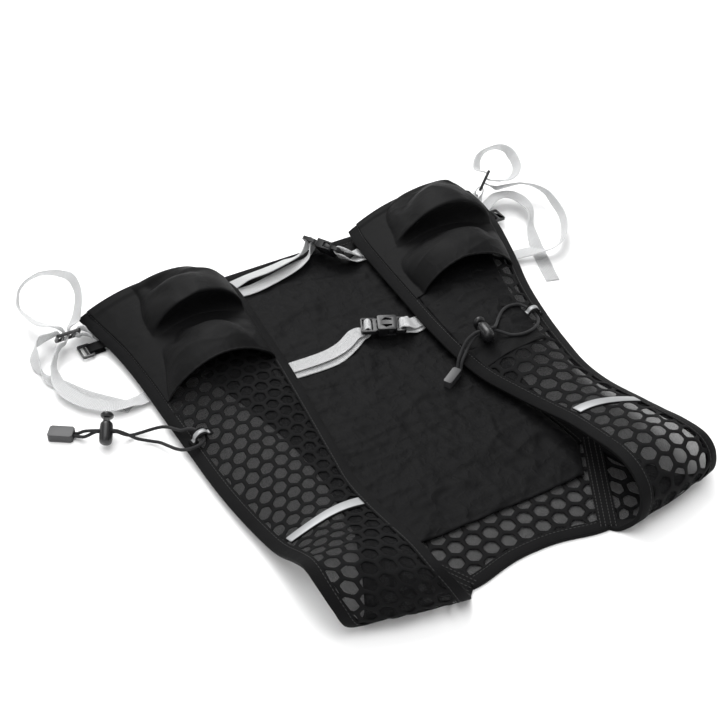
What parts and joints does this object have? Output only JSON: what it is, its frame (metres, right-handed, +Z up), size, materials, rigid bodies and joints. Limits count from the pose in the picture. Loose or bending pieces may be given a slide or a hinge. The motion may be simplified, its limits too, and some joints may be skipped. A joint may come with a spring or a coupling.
{
  "type": "running hydration vest",
  "caption": "Light running vest lying flat: mesh fronts with stretch flask pockets, chest straps with side-release buckles, adjustable side webs and elastic cords.",
  "frame": {"origin": "centre of the back panel's flat underside, on the ground the vest lies on", "axes": "+Z up, out of the back panel towards the wearer's chest; +Y towards the waist, -Y towards the neck; +X towards the wearer's right side"},
  "size_m": [0.4996, 0.4514, 0.0473],
  "materials": {
    "mesh_cloth": "matt hexagonal mesh",
    "woven_cloth": "matt woven nylon with small creases",
    "stretch_cloth": "matt smooth stretch knit",
    "black_tape": "matt woven tape, stitched",
    "reflector": "satin silver, retro-reflective",
    "light_webbing": "satin ribbed polyester webbing",
    "elastic_cord": "matt braided sheath",
    "grey_plastic": "soft matt moulded rubber",
    "black_plastic": "satin moulded nylon"
  },
  "bodies": {
    "vest": {"back_panel": "mesh_cloth", "back_sleeve": "woven_cloth", "neck_binding": "black_tape", "waist_binding": "black_tape", "armhole_binding_right": "black_tape", "armhole_binding_left": "black_tape", "front_panel_right": "mesh_cloth", "inner_binding_right": "black_tape", "outer_binding_right": "black_tape", "hem_binding_right": "black_tape", "pocket_right": "stretch_cloth", "keeper_tape_right": "black_tape", "reflector_right": "reflector", "cord_tab_right": "black_tape", "front_panel_left": "mesh_cloth", "inner_binding_left": "black_tape", "outer_binding_left": "black_tape", "hem_binding_left": "black_tape", "pocket_left": "stretch_cloth", "keeper_tape_left": "black_tape", "reflector_left": "reflector", "cord_tab_left": "black_tape", "seam_tape_right": "black_tape", "seam_tape_left": "black_tape", "upper_buckle_prong": "black_plastic", "upper_buckle_socket": "black_plastic", "lower_buckle_prong": "black_plastic", "lower_buckle_socket": "black_plastic", "upper_strap_left": "light_webbing", "upper_strap_right": "light_webbing", "lower_strap_left": "light_webbing", "lower_strap_right": "light_webbing", "ladder_lock_left": "black_plastic", "slider_left": "black_plastic", "slider_tape_left": "black_tape", "ladder_lock_right": "black_plastic", "slider_right": "black_plastic", "slider_tape_right": "black_tape", "anchor_web_left": "light_webbing", "anchor_web_right": "light_webbing", "side_loop_left": "light_webbing", "side_loop_right": "light_webbing", "side_web_left": "light_webbing", "side_web_right": "light_webbing", "side_tail_left": "light_webbing", "side_tail_right": "light_webbing", "cord_toggle_left": "grey_plastic", "cord_lock_left": "black_plastic", "elastic_cord_left": "elastic_cord", "cord_toggle_right": "grey_plastic", "cord_lock_right": "black_plastic", "elastic_cord_right": "elastic_cord"},
    "lock_button_left": {"cord_lock_button_left": "black_plastic"},
    "lock_button_right": {"cord_lock_button_right": "black_plastic"}
  },
  "joints": [
    {"name": "left_lock_press", "type": "slide", "parent": "vest", "child": "lock_button_left", "axis": [-0.425, -0.754, -0.5008], "range_m": [0, 0.0025], "stiffness_N_per_m": 800, "springref_m": -0.002},
    {"name": "right_lock_press", "type": "slide", "parent": "vest", "child": "lock_button_right", "axis": [-0.1898, -0.9786, 0.0797], "range_m": [0, 0.0025], "stiffness_N_per_m": 800, "springref_m": -0.002}
  ]
}
